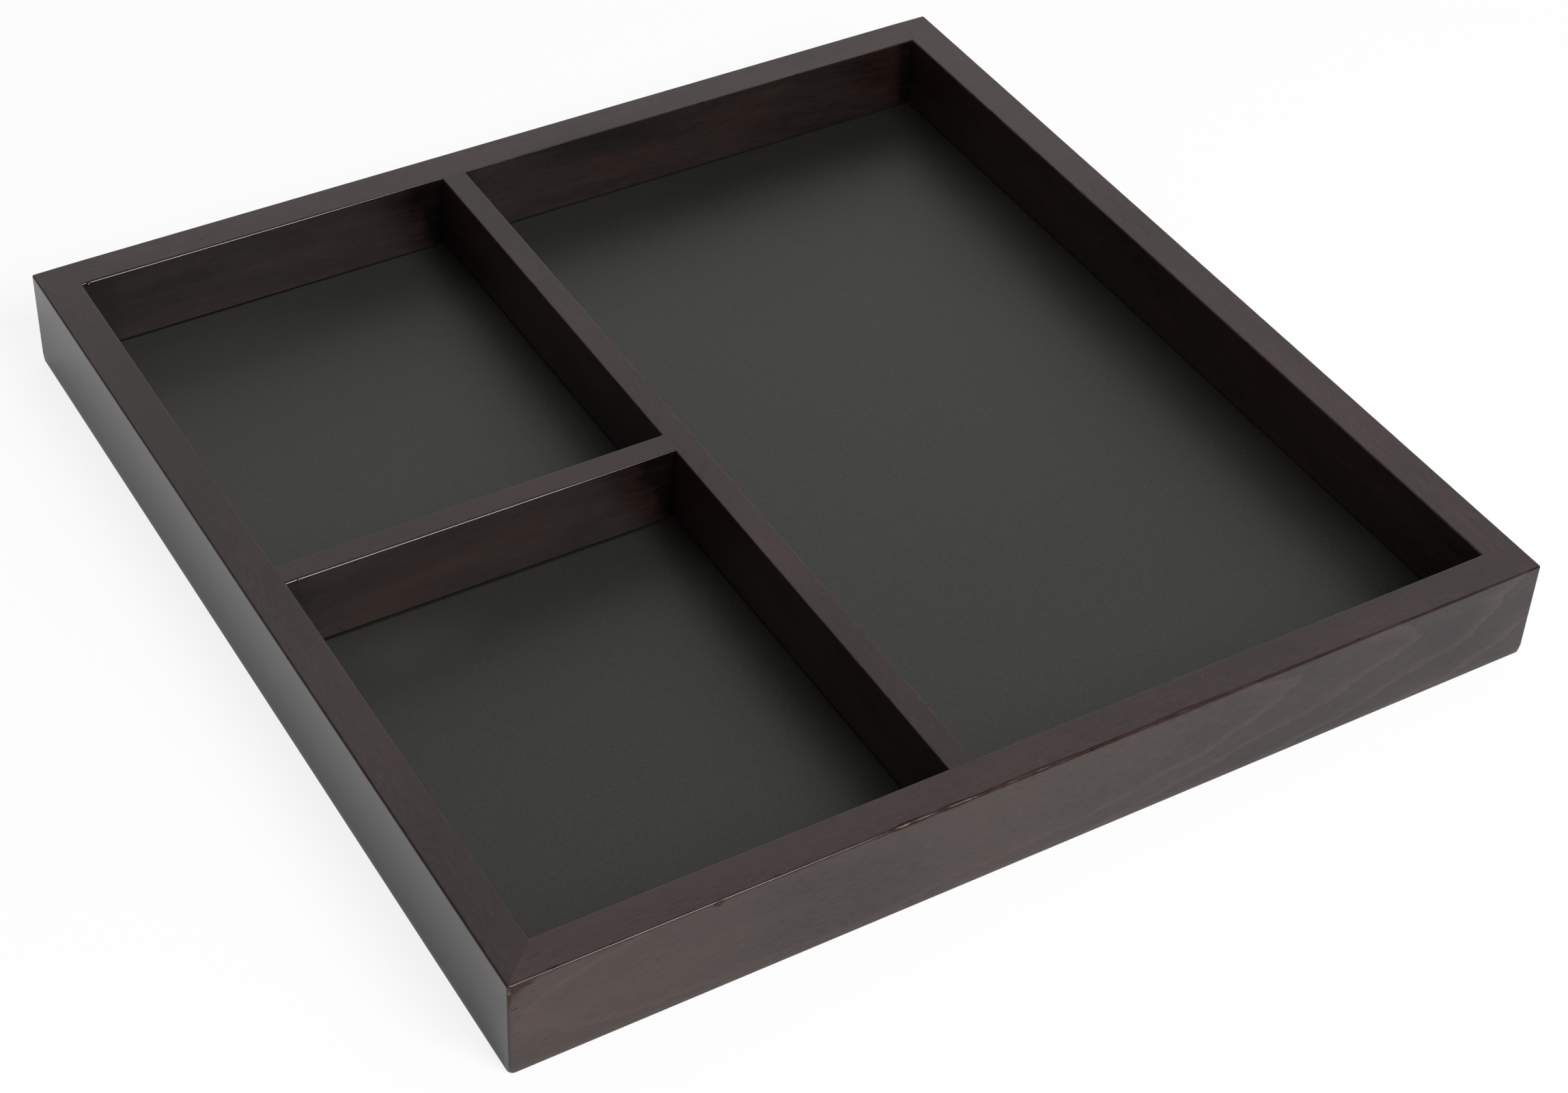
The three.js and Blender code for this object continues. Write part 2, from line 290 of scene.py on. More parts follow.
# Gloss and roughness of the materials, each from one end of a range to the other, and what rubbing adds
WOOD_GLOSS = (0.35, 0.15)
WOOD_ROUGHNESS = (0.11, 0.16)
RUBBED_ROUGHNESS = 0.1
DROP_ROUGHNESS = (0.05, 0.12)
PAINT_GLOSS = (0.42, 0.58)
PAINT_ROUGHNESS = (0.36, 0.46)
BEECH_ROUGHNESS = (0.5, 0.65)
ZINC_ROUGHNESS = (0.28, 0.45)

# Fine relief: strength and height in metres, and weight of the fibres beside the ripple
WOOD_BUMP = (0.1, 0.2 * MM)
DROP_BUMP = (0.1, 0.1 * MM)
PAINT_BUMP = (0.1, 0.05 * MM)
BEECH_BUMP = (0.2, 0.1 * MM)
ZINC_BUMP = (0.08, 0.05 * MM)
FIBRE_RELIEF = 0.12

# Chalkboard paint: weight of the speckle beside the clouds, and swing of the painted pools of bounced light
SPECKLE_SHARE = 0.8
PAINTED_LIGHT_SWING = (0.75, 1.25)

# Dust: cells per metre, share of cells that hold a speck, and radius of the largest speck in cells
WOOD_SPECKS = (90.0, 0.12, 0.02)
PAINT_SPECKS = (80.0, 0.3, 0.018)

# How far a surface has to face up, from -1 to 1, to hold dust or to be the painted side
DUST_FACING = 0.9
PAINTED_FACING = 0.5

# Colours, as linear light
STAIN_DARK = (0.0040, 0.0030, 0.0026, 1)
STAIN_LIGHT = (0.0440, 0.0278, 0.0233, 1)
STAIN_RED = (0.0470, 0.0205, 0.0150, 1)
RIM_DARK = (0.0122, 0.0052, 0.0050, 1)
RIM_LIGHT = (0.0440, 0.0222, 0.0215, 1)
LINE_PINK = (0.076, 0.042, 0.040, 1)
EDGE_RED = (0.020, 0.0085, 0.0070, 1)
BARE_WOOD = (0.27, 0.165, 0.105, 1)
CHIP_DARK = (0.0035, 0.0030, 0.0030, 1)
WOOD_DUST = (0.10, 0.075, 0.062, 1)
DROP_DARK = (0.0040, 0.0032, 0.0030, 1)
DROP_BROWN = (0.0120, 0.0070, 0.0055, 1)
PAINT_DARK = (0.0062, 0.0062, 0.0054, 1)
PAINT_LIGHT = (0.0118, 0.0118, 0.0105, 1)
PAINT_SHINE = (1.0, 1.0, 0.96, 1)
# Painted light: colour of the pools of light that bounce off the left rail's lacquered inner face onto the
# panel
PAINTED_LIGHT_COLOUR = (0.030, 0.030, 0.0285, 1)
CHALK_DUST = (0.06, 0.06, 0.056, 1)
PANEL_BACK_DARK = (0.050, 0.028, 0.016, 1)
PANEL_BACK_LIGHT = (0.105, 0.062, 0.036, 1)
BEECH_DARK = (0.36, 0.22, 0.12, 1)
BEECH_LIGHT = (0.56, 0.38, 0.23, 1)
ZINC_DARK = (0.46, 0.39, 0.25, 1)
ZINC_LIGHT = (0.66, 0.60, 0.45, 1)

# Painted pools of bounced light on the panel: centre and reach in metres, strength
PAINTED_LIGHT_POOLS = [
    ((-138 * MM, -20 * MM, PANEL_HIGH.z), (42 * MM, 17 * MM, 1.0), 0.5),
    ((-125 * MM, 148 * MM, PANEL_HIGH.z), (54 * MM, 17 * MM, 1.0), 0.3),
]

# Camera of the photo: place in metres, angles in degrees, lens and sensor width in millimetres,
# shift in sensor widths
CAMERA_PLACE = (-0.42066, -0.68573, 0.68938)
CAMERA_AZIMUTH = -31.12
CAMERA_ELEVATION = 39.956
CAMERA_ROLL = 2.084
CAMERA_LENS = 73.753
CAMERA_SENSOR = 36.0
CAMERA_SHIFT = (0.03229, -0.05385)

# Stage: floor in metres, shares of plain white that it shows, and light of the surroundings
FLOOR_SIZE = 12.0
FLOOR_DROP = 0.1 * MM
FLOOR_WHITE = (0.9, 0.9, 0.9, 1.0)
FLOOR_GLOW_SEEN = 0.85
FLOOR_GLOW_MIRRORED = 0.24
WORLD_WHITE = (1, 1, 1, 1)
WORLD_FILL = 0.28
WORLD_SEEN = 1.0

# Lamps: centre, target and size in metres, and radiance
LAMPS = {
    "front_key": ((0.35, -1.516, 1.556), (0, 0, 0), (0.97, 1.18), 14.0),
    "back_sheet": ((1.5, 2.4, 1.8), (0, 0, 0.3), (4.0, 3.2), 0.745),
}


def keyed(keys, place):
    """The level at a place between keys of (place, level)."""
    for (a, low), (b, high) in zip(keys, keys[1:]):
        if place <= b:
            share = max(0.0, (place - a) / (b - a))
            return low + (high - low) * share
    return keys[-1][1]


def arc(centre, radius, start, end, steps=ARC_STEPS):
    """Points of an arc in a section plane, from one angle to another in degrees."""
    points = []
    for step in range(steps + 1):
        angle = math.radians(start + (end - start) * step / steps)
        points.append((centre[0] + radius * math.cos(angle), centre[1] + radius * math.sin(angle)))
    return points


def spaced(start, end, step):
    """Even places from start to end, no further apart than step."""
    count = max(1, math.ceil(abs(end - start) / step))
    return [start + (end - start) * k / count for k in range(count + 1)]


def side_turn(name):
    """The turn that brings a rail built along the front to its side."""
    cosine, sine = SIDE_TURNS[name]
    return Matrix(((cosine, -sine, 0), (sine, cosine, 0), (0, 0, 1)))


def board_place(name, point):
    """Where a point lies along a board, from -1 at its start to 1 at its end."""
    if name in SIDE_TURNS:
        return (side_turn(name).inverted() @ point).x / HALF
    low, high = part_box(name)
    return 2 * (point.y - low.y) / (high.y - low.y) - 1


def edge_radius(name, side, where):
    """Radius of a board's rounded top edge at a place along it, with a little wander between its ends."""
    wander = noise.noise(Vector((where * WANDER_CELLS, len(name), len(side))))
    fade = min(1.0, WANDER_FADE * (1 - abs(where)))
    return keyed(EDGE_RADII.get((name, side), EVEN_RADII), where) * (1 + WANDER_SHARE * wander * fade) * MM


def edge_wear(name, side, where, point, corner, radius):
    """How far the stain is rubbed at a section point, from the rounded edge at a corner outwards."""
    away = math.hypot(point[0] - corner[0], point[1] - corner[1]) - radius * (math.sqrt(2) - 1)
    near = max(0.0, 1.0 - max(0.0, away) / WEAR_REACH[1])
    return near * keyed(EDGE_WEAR.get((name, side), FAINT_WEAR), where)


def spot_wear(name, point):
    """How far a point of a board is worn by single spots."""
    levels = [0.0]
    for centre, reach, level in WORN_SPOTS.get(name, []):
        levels.append(level * (1 - (Vector(point) - Vector(centre)).length / reach))
    return max(levels)


def corner_painted_shade(name, along, height):
    """How much tone a board's inner face loses to painted shade near inner corners."""
    rise = (height - PANEL_HIGH.z) / (HEIGHT - PANEL_HIGH.z)
    losses = [0.0]
    for corner, foot_reach, rim_reach, loss in CORNER_PAINTED_SHADE.get(name, []):
        reach = foot_reach + (rim_reach - foot_reach) * max(0.0, rise)
        losses.append(loss * (1 - abs(along - corner) / reach))
    return max(losses)


def board_tone(name, where, along, height, inside):
    """Tone of a board on its rim or on a face, with painted shade at the foot and, inside the tray, in
    corners.
    """
    face, rim = BOARD_TONES[name]
    if height >= HEIGHT:
        return keyed(rim, where)
    if inside:
        return keyed(face, where) - corner_painted_shade(name, along, height)
    return keyed(face, where) * (FOOT_PAINTED_SHADE_SHARE if height < PANEL_LOW.z else 1.0)


def grain_place(name, length, along, depth, height):
    """A point of a board seen from the middle of its growth loops."""
    share, middle_depth, middle_height = LOOP_CENTRES[name]
    run = along - share * length
    return (run, depth - middle_depth, height - middle_height - LOOP_RISE * run)


def linked(name, data):
    """A new object of a mesh, a lamp or a camera, put into the scene."""
    made = bpy.data.objects.new(name, data)
    bpy.context.scene.collection.objects.link(made)
    return made


def skin(name, rings, grain, levels):
    """A closed piece through rings of points, with what its material reads of the board at each point."""
    count = len(rings[0])
    points = [point for ring in rings for point in ring]
    faces = [list(range(count)), [len(points) - 1 - k for k in range(count)]]
    for station in range(len(rings) - 1):
        base = station * count
        for k in range(count):
            after = (k + 1) % count
            faces.append([base + k, base + count + k, base + count + after, base + after])
    mesh = bpy.data.meshes.new(name + "_visual")
    mesh.from_pydata(points, [], faces)
    mesh.attributes.new("grain", "FLOAT_VECTOR", "POINT").data.foreach_set(
        "vector", [value for point in grain for value in point]
    )
    figure = FIGURE_STRENGTH.get(name, FIGURE_FAINT)
    read = dict(levels)
    read["figure"] = [figure * (FIGURE_ON_TOP if point.z >= HEIGHT else 1.0) for point in points]
    read["board"] = [BOARD_SEEDS[name]] * len(points)
    for key, values in read.items():
        mesh.attributes.new(key, "FLOAT", "POINT").data.foreach_set("value", values)
    mesh.validate()
    mesh.shade_smooth()
    mesh.set_sharp_from_angle(angle=math.radians(SHARP_ANGLE))
    return linked(name + "_visual", mesh)


def place(piece, node, surface, slot_name):
    """Puts a finished piece on the body in place of its CAD node."""
    piece.data.materials.append(surface)
    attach(piece, BODY)
    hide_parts(node)


def rail_section(outer, inner):
    """Section of a rail as (depth, height): up the outer face, over the top, round the groove and below."""
    groove_low = PANEL_LOW.z - GROOVE_EASE
    groove_high = PANEL_HIGH.z + GROOVE_PLAY
    near, far = WEAR_REACH
    low = LOW_EDGE_RADIUS
    points = arc((low, low), low, 270, 180, LOW_ARC_STEPS)
    points += [(0, FOOT_CORNER_RISE), (0, HEIGHT / 2), (0, HEIGHT - outer - SPOT_ROW)]
    points += [(0, HEIGHT - outer - far), (0, HEIGHT - outer - near)]
    points += arc((outer, HEIGHT - outer), outer, 180, 90)
    points += [(outer + near, HEIGHT), (outer + far, HEIGHT)]
    points += [(FOOT_CORNER_RADIUS + far, HEIGHT), (RAIL / 2, HEIGHT)]
    points += [(RAIL - inner - far, HEIGHT), (RAIL - inner - near, HEIGHT)]
    points += arc((RAIL - inner, HEIGHT - inner), inner, 90, 0)
    points += [(RAIL, HEIGHT - inner - near), (RAIL, HEIGHT - inner - far), (RAIL, HEIGHT / 2)]
    points += [(RAIL, groove_high + GROOVE_EASE), (RAIL - GROOVE_EASE, groove_high)]
    points += [(RAIL - GROOVE_DEPTH, groove_high), (RAIL - GROOVE_DEPTH, groove_low)]
    points += [(RAIL - GROOVE_EASE, groove_low), (RAIL, groove_low - GROOVE_EASE)]
    points += arc((RAIL - low, low), low, 0, -90, LOW_ARC_STEPS)
    points += [(RAIL / 2, 0), (FOOT_CORNER_RADIUS + far, 0)]
    return points


def corner_point(depth, height, share):
    """A section point on its way through a mitred, rounded corner, as (distance from the corner, depth)."""
    foot = max(0.0, 1 - height / FOOT_CORNER_RISE)
    radius = CORNER_RADIUS + (FOOT_CORNER_RADIUS - CORNER_RADIUS) * foot
    if depth < radius:
        angle = math.radians(MITRE_ANGLE * max(0.0, 1 - share))
        swing = radius - depth
        start = radius + CORNER_LEAD * max(0.0, share - 1)
        return start - swing * math.sin(angle), radius - swing * math.cos(angle)
    return depth + (CORNER_ZONE - depth) * share * CORNER_STEPS / CORNER_STATIONS, depth


def rail_stations(length):
    """Stations of a rail as (end, value): a share of the way through a corner, or a place between them."""
    shares = [step / CORNER_STEPS for step in range(CORNER_STATIONS)]
    middle = spaced(CORNER_ZONE, length - CORNER_ZONE, STATION_STEP)
    first_corner = [(-1, share) for share in shares]
    last_corner = [(1, share) for share in reversed(shares)]
    return first_corner + [(0, along) for along in middle] + last_corner


def rail(name):
    """One mitred rail, built along the front and turned to its side."""
    length = 2 * HALF
    turn = side_turn(name)
    rings, grain = [], []
    redness = INNER_REDNESS.get(name, INNER_REDNESS_FULL)
    levels = {"wear": [], "tone": [], "redness": []}
    for end, value in rail_stations(length):
        # Inside a corner, the edges keep the radius of the board's end
        where = end or 2 * value / length - 1
        outer = edge_radius(name, "outer", where)
        inner = edge_radius(name, "inner", where)
        ring = []
        for depth, height in rail_section(outer, inner):
            along, across = corner_point(depth, height, value) if end else (value, depth)
            if end < 0:
                along = along + JOINT_GAP
            elif end > 0:
                along = length - along - JOINT_GAP
            ring.append(turn @ Vector((along - HALF, across - HALF, height)))
            grain.append(grain_place(name, length, along, across, height))
            here = 2 * along / length - 1
            worn_outside = edge_wear(name, "outer", here, (depth, height), (0, HEIGHT), outer)
            worn_inside = edge_wear(name, "inner", here, (depth, height), (RAIL, HEIGHT), inner)
            inside = depth > RAIL / 2
            levels["wear"].append(max(worn_outside, worn_inside, spot_wear(name, (along, across, height))))
            levels["tone"].append(board_tone(name, here, along, height, inside))
            levels["redness"].append(redness if inside else 0.0)
        rings.append(ring)
    return skin(name, rings, grain, levels)


def scribe(height, radius):
    """How far a divider's end reaches over the rounded edge that it meets, at a height."""
    rise = max(0.0, height - (HEIGHT - radius))
    return radius - math.sqrt(max(0.0, radius**2 - rise**2))


def end_reach(name, at_end, point, height):
    """How far a point of a divider's end goes out to the board that it meets."""
    board, edge = MEETINGS[name][at_end]
    met = edge_radius(board, edge, board_place(board, point))
    return scribe(height, met) + END_REACH[name]


def divider_half_section(thickness, radius):
    """Half of a divider's section as (place across, height), from its foot to the middle of its top."""
    half = thickness / 2
    near, far = WEAR_REACH
    points = [(-half + DIVIDER_EASE, DIVIDER_FOOT), (-half, DIVIDER_FOOT + DIVIDER_EASE)]
    points += [(-half, HEIGHT / 2)]
    points += [(-half, HEIGHT - radius - far), (-half, HEIGHT - radius - near)]
    points += arc((-half + radius, HEIGHT - radius), radius, 180, 90)
    return points + [(-half + radius + near, HEIGHT), (-half + radius + far, HEIGHT)]


def divider_section(thickness, radii):
    """A divider's section as (place across, height), from one foot over the top to the other."""
    near_half = divider_half_section(thickness, radii[0])
    far_half = divider_half_section(thickness, radii[1])
    return near_half + [(-across, height) for across, height in reversed(far_half)]


def divider(name, low, high, along_axis, sides):
    """One divider, with its ends scribed over the rounded edges of the boards that it meets."""
    across_axis = 1 - along_axis
    thickness = high[across_axis] - low[across_axis]
    centre = (high[across_axis] + low[across_axis]) / 2
    start, end = low[along_axis], high[along_axis]
    flip = 1 if along_axis == X_AXIS else -1
    rings, grain = [], []
    redness = INNER_REDNESS.get(name, INNER_REDNESS_FULL)
    levels = {"wear": [], "tone": [], "redness": []}
    for along in spaced(start, end, STATION_STEP):
        where = 2 * (along - start) / (end - start) - 1
        radii = [edge_radius(name, side, where) for side in sides]
        ring = []
        for across, height in divider_section(thickness, radii):
            point = Vector((0, 0, height))
            point[along_axis] = along
            point[across_axis] = centre + across * flip
            if along in (start, end):
                reach = end_reach(name, along == end, point, height)
                point[along_axis] += math.copysign(reach, where)
            ring.append(point)
            grain.append(grain_place(name, end - start, along - start, across + thickness / 2, height))
            side = 0 if across < 0 else 1
            corner = (math.copysign(thickness / 2, across), HEIGHT)
            worn = edge_wear(name, sides[side], where, (across, height), corner, radii[side])
            levels["wear"].append(worn)
            levels["tone"].append(board_tone(name, where, along - start, height, True))
            levels["redness"].append(redness)
        rings.append(ring)
    return skin(name, rings, grain, levels)


def drop(name, centre, sizes):
    """A small uneven drop of rings between a point at its top and one at its foot."""
    outs = [Vector((0, 0, 1))]
    for step in range(1, DROP_STEPS):
        tilt = math.pi * step / DROP_STEPS
        flat = math.sin(tilt)
        for turn in range(DROP_STEPS):
            angle = 2 * math.pi * turn / DROP_STEPS
            outs.append(Vector((flat * math.cos(angle), flat * math.sin(angle), math.cos(tilt))))
    outs.append(Vector((0, 0, -1)))
    points = []
    for out in outs:
        reach = 1 - DROP_WANDER * (1 + noise.noise(out + Vector(centre) / MM))
        points.append([c + o * s * reach for c, o, s in zip(centre, out, sizes)])
    foot = len(points) - 1
    faces = []
    for turn in range(DROP_STEPS):
        after = (turn + 1) % DROP_STEPS
        faces.append([0, 1 + turn, 1 + after])
        for ring in range(DROP_STEPS - 2):
            high = 1 + ring * DROP_STEPS
            low = high + DROP_STEPS
            faces.append([high + turn, low + turn, low + after, high + after])
        faces.append([foot, foot - DROP_STEPS + after, foot - DROP_STEPS + turn])
    mesh = bpy.data.meshes.new(name)
    mesh.from_pydata(points, [], faces)
    mesh.validate()
    mesh.shade_smooth()
    return linked(name, mesh)


def fill(tree, made, sockets):
    """Sets inputs of a node to links or constants."""
    for key, value in sockets.items():
        if isinstance(value, bpy.types.NodeSocket):
            tree.links.new(value, made.inputs[key])
        else:
            made.inputs[key].default_value = value


def node(tree, kind, sockets=None, **settings):
    """A new node: settings are its own properties, sockets its inputs as links or constants."""
    made = tree.nodes.new(kind)
    for key, value in settings.items():
        setattr(made, key, value)
    fill(tree, made, sockets or {})
    return made


def attribute(tree, name, output):
    """A mesh attribute, as its Vector or its Fac."""
    return node(tree, "ShaderNodeAttribute", attribute_name=name).outputs[output]


def object_coords(tree):
    """Places in the piece's own frame."""
    return node(tree, "ShaderNodeTexCoord").outputs["Object"]


def noise_of(tree, coords, cells, detail=3.0, roughness=0.5, board=0.0):
    """Noise from 0 to 1 with a number of cells per metre along each axis, and its own run on each board."""
    mapped = node(tree, "ShaderNodeMapping", {"Vector": coords, "Scale": cells}).outputs["Vector"]
    inputs = {"Vector": mapped, "W": board, "Scale": 1.0, "Detail": detail, "Roughness": roughness}
    return node(tree, "ShaderNodeTexNoise", inputs, noise_dimensions="4D").outputs["Fac"]


def span(tree, value, source, target=WHOLE_RANGE):
    """A value moved from one range to another and kept inside it."""
    inputs = {"Value": value, 1: source[0], 2: source[1], 3: target[0], 4: target[1]}
    return node(tree, "ShaderNodeMapRange", inputs, clamp=True).outputs["Result"]


def math_of(tree, operation, a, b):
    """Two values joined by one operation."""
    return node(tree, "ShaderNodeMath", {0: a, 1: b}, operation=operation).outputs[0]


def vector_math(tree, operation, a, b):
    """Two vectors joined by one operation."""
    return node(tree, "ShaderNodeVectorMath", {0: a, 1: b}, operation=operation).outputs[0]


def length_of(tree, vector):
    """Length of a vector."""
    return node(tree, "ShaderNodeVectorMath", {0: vector}, operation="LENGTH").outputs["Value"]


def blend(tree, share, a, b):
    """A colour between two colours."""
    return node(tree, "ShaderNodeMix", {0: share, 6: a, 7: b}, data_type="RGBA").outputs[2]


def bump(tree, height, strength, distance):
    """A bumped normal."""
    inputs = {"Height": height, "Strength": strength, "Distance": distance}
    return node(tree, "ShaderNodeBump", inputs).outputs["Normal"]


def upward(tree):
    """How far the surface faces up, from -1 to 1."""
    normal = node(tree, "ShaderNodeNewGeometry").outputs["Normal"]
    return node(tree, "ShaderNodeSeparateXYZ", {0: normal}).outputs["Z"]


def dust(tree, cells, share, radius):
    """Dust on what faces up: 1 on a speck, 0 off it, in a share of the cells, up to a radius in cells."""
    inputs = {"Vector": object_coords(tree), "Scale": cells, "Randomness": 1.0}
    scattered = node(tree, "ShaderNodeTexVoronoi", inputs, voronoi_dimensions="2D").outputs
    lots = node(tree, "ShaderNodeSeparateColor", {0: scattered["Color"]}).outputs
    chosen = math_of(tree, "LESS_THAN", lots[0], share)
    inside = math_of(tree, "LESS_THAN", scattered["Distance"], math_of(tree, "MULTIPLY", lots[1], radius))
    lying = math_of(tree, "GREATER_THAN", upward(tree), DUST_FACING)
    return math_of(tree, "MULTIPLY", lying, math_of(tree, "MULTIPLY", chosen, inside))


def material(name, build):
    """A material whose surface a function builds in its node tree."""
    made = bpy.data.materials.new(name)
    made.use_nodes = True
    tree = made.node_tree
    fill(tree, tree.nodes["Principled BSDF"], build(tree))
    return made


def growth_lines(tree, grain, board):
    """Growth lines where the board cuts its long loops: 0 between them, 1 at a line's sharp outer edge."""
    reach = length_of(tree, vector_math(tree, "DIVIDE", grain, LOOP_REACH))
    loops = math_of(tree, "MULTIPLY", reach, LINES_PER_REACH)
    wander = noise_of(tree, grain, WOOD_CELLS["wander"], detail=2, board=board)
    frayed = noise_of(tree, grain, WOOD_CELLS["frayed"], detail=2, board=board)
    bent = math_of(tree, "ADD", loops, span(tree, wander, NOISE_WIDE, LINE_WANDER))
    rough = math_of(tree, "ADD", bent, span(tree, frayed, NOISE_WIDE, LINE_FRAY))
    outside = math_of(tree, "MAXIMUM", rough, FIRST_LINE)
    return span(tree, math_of(tree, "FRACT", outside, 0.0), LINE_RAMP)


def stain_colour(tree, grain, board, fibres):
    """Blotched espresso stain: greyer outside, redder inside, pinker on the rim, with growth lines."""
    tone = attribute(tree, "tone", "Fac")
    redness = attribute(tree, "redness", "Fac")
    blotches = noise_of(tree, grain, WOOD_CELLS["blotches"], detail=4, roughness=0.55, board=board)
    clouded = math_of(tree, "ADD", tone, span(tree, blotches, NOISE_MOST, BLOTCH_SWING))
    streaks = span(tree, fibres, NOISE_MOST, STREAK_SWING)
    softened = math_of(tree, "MULTIPLY", streaks, span(tree, redness, WHOLE_RANGE, STREAKS_LEFT))
    share = math_of(tree, "ADD", clouded, softened)
    reds = noise_of(tree, grain, WOOD_CELLS["reds"], detail=2, board=board)
    reddened = math_of(tree, "MULTIPLY", redness, span(tree, reds, NOISE_NARROW, RED_PATCHES))
    face = blend(tree, share, STAIN_DARK, blend(tree, reddened, STAIN_LIGHT, STAIN_RED))
    rim = blend(tree, share, RIM_DARK, RIM_LIGHT)
    stain = blend(tree, span(tree, upward(tree), RIM_FACING), face, rim)
    lines = math_of(tree, "MULTIPLY", growth_lines(tree, grain, board), attribute(tree, "figure", "Fac"))
    return blend(tree, lines, stain, LINE_PINK)


def stained_wood(tree):
    """Stained wood under satin lacquer, rubbed thin and chipped along the edges."""
    grain = attribute(tree, "grain", "Vector")
    wear = attribute(tree, "wear", "Fac")
    board = attribute(tree, "board", "Fac")
    fibres = noise_of(tree, grain, WOOD_CELLS["fibres"], detail=3, roughness=0.6, board=board)
    stain = stain_colour(tree, grain, board, fibres)
    rubbing = noise_of(tree, grain, WOOD_CELLS["rubbing"], detail=4, roughness=0.65, board=board)
    rubbed = math_of(tree, "MULTIPLY", wear, span(tree, rubbing, NOISE_MIDDLE, RUB_SWING))
    reddened = blend(tree, span(tree, rubbed, RUBBED_RED), stain, EDGE_RED)
    bared = blend(tree, span(tree, rubbed, RUBBED_BARE), reddened, BARE_WOOD)
    chips = noise_of(tree, grain, WOOD_CELLS["chips"], detail=2, board=board)
    chipped = math_of(tree, "MULTIPLY", span(tree, chips, NOISE_CHIPS), span(tree, wear, CHIPPED_WEAR))
    marked = blend(tree, chipped, bared, CHIP_DARK)
    sheen = span(tree, noise_of(tree, grain, WOOD_CELLS["sheen"]), NOISE_MIDDLE, WOOD_ROUGHNESS)
    ripple = noise_of(tree, grain, WOOD_CELLS["ripple"], detail=2)
    relief = math_of(tree, "ADD", ripple, math_of(tree, "MULTIPLY", fibres, FIBRE_RELIEF))
    return {
        "Base Color": blend(tree, dust(tree, *WOOD_SPECKS), marked, WOOD_DUST),
        "Specular IOR Level": span(tree, wear, DULLED_WEAR, WOOD_GLOSS),
        "Roughness": math_of(tree, "ADD", sheen, math_of(tree, "MULTIPLY", rubbed, RUBBED_ROUGHNESS)),
        "Normal": bump(tree, relief, *WOOD_BUMP),
    }


def pooled_lacquer(tree):
    """Dark, shiny lacquer of the drops, browner where it is thin."""
    depth = noise_of(tree, object_coords(tree), DROP_CELLS, detail=2)
    return {
        "Base Color": blend(tree, span(tree, depth, NOISE_BROWN), DROP_DARK, DROP_BROWN),
        "Roughness": span(tree, depth, NOISE_MIDDLE, DROP_ROUGHNESS),
        "Normal": bump(tree, depth, *DROP_BUMP),
    }


def painted_light_share(tree, coords, patches):
    """How far painted pools of bounced light lighten the paint, in soft patches."""
    whole = 0.0
    for centre, reach, strength in PAINTED_LIGHT_POOLS:
        away = vector_math(tree, "SUBTRACT", coords, centre)
        length = length_of(tree, vector_math(tree, "DIVIDE", away, reach))
        inputs = {"Value": length, 1: 0.0, 2: 1.0, 3: strength, 4: 0.0}
        share = node(tree, "ShaderNodeMapRange", inputs, interpolation_type="SMOOTHSTEP").outputs[0]
        whole = math_of(tree, "ADD", whole, share)
    return math_of(tree, "MULTIPLY", whole, span(tree, patches, NOISE_MIDDLE, PAINTED_LIGHT_SWING))


def chalkboard(tree):
    """Dark grey chalkboard paint with dust and painted pools of light on it, on a brown board seen from
    below.
    """
    coords = object_coords(tree)
    clouds = noise_of(tree, coords, PANEL_CELLS["clouds"], detail=3)
    speckle = noise_of(tree, coords, PANEL_CELLS["speckle"], detail=3, roughness=0.7)
    mottle = math_of(tree, "ADD", clouds, math_of(tree, "MULTIPLY", speckle, SPECKLE_SHARE))
    paint = blend(tree, span(tree, mottle, NOISE_MOTTLE), PAINT_DARK, PAINT_LIGHT)
    lit_paint = blend(tree, painted_light_share(tree, coords, clouds), paint, PAINTED_LIGHT_COLOUR)
    dusted = blend(tree, dust(tree, *PAINT_SPECKS), lit_paint, CHALK_DUST)
    fibres = noise_of(tree, coords, PANEL_CELLS["fibres"], detail=5, roughness=0.7)
    back = blend(tree, span(tree, fibres, NOISE_MIDDLE), PANEL_BACK_DARK, PANEL_BACK_LIGHT)
    painted = math_of(tree, "GREATER_THAN", upward(tree), PAINTED_FACING)
    return {
        "Base Color": blend(tree, painted, back, dusted),
        "Specular IOR Level": span(tree, speckle, NOISE_MIDDLE, PAINT_GLOSS),
        "Specular Tint": PAINT_SHINE,
        "Roughness": span(tree, math_of(tree, "ADD", clouds, speckle), NOISE_PAINT, PAINT_ROUGHNESS),
        "Normal": bump(tree, speckle, *PAINT_BUMP),
    }


def beech(tree):
    """Plain pale beech of the splines and dowels."""
    flecks = noise_of(tree, object_coords(tree), BEECH_CELLS, detail=4, roughness=0.6)
    return {
        "Base Color": blend(tree, span(tree, flecks, NOISE_MIDDLE), BEECH_DARK, BEECH_LIGHT),
        "Roughness": span(tree, flecks, NOISE_MIDDLE, BEECH_ROUGHNESS),
        "Normal": bump(tree, flecks, *BEECH_BUMP),
    }


def screw_steel(tree):
    """Yellow zinc over steel, dulled in patches."""
    patches = noise_of(tree, object_coords(tree), ZINC_CELLS, detail=4)
    return {
        "Base Color": blend(tree, span(tree, patches, NOISE_MIDDLE), ZINC_DARK, ZINC_LIGHT),
        "Metallic": 1.0,
        "Roughness": span(tree, patches, NOISE_MIDDLE, ZINC_ROUGHNESS),
        "Normal": bump(tree, patches, *ZINC_BUMP),
    }


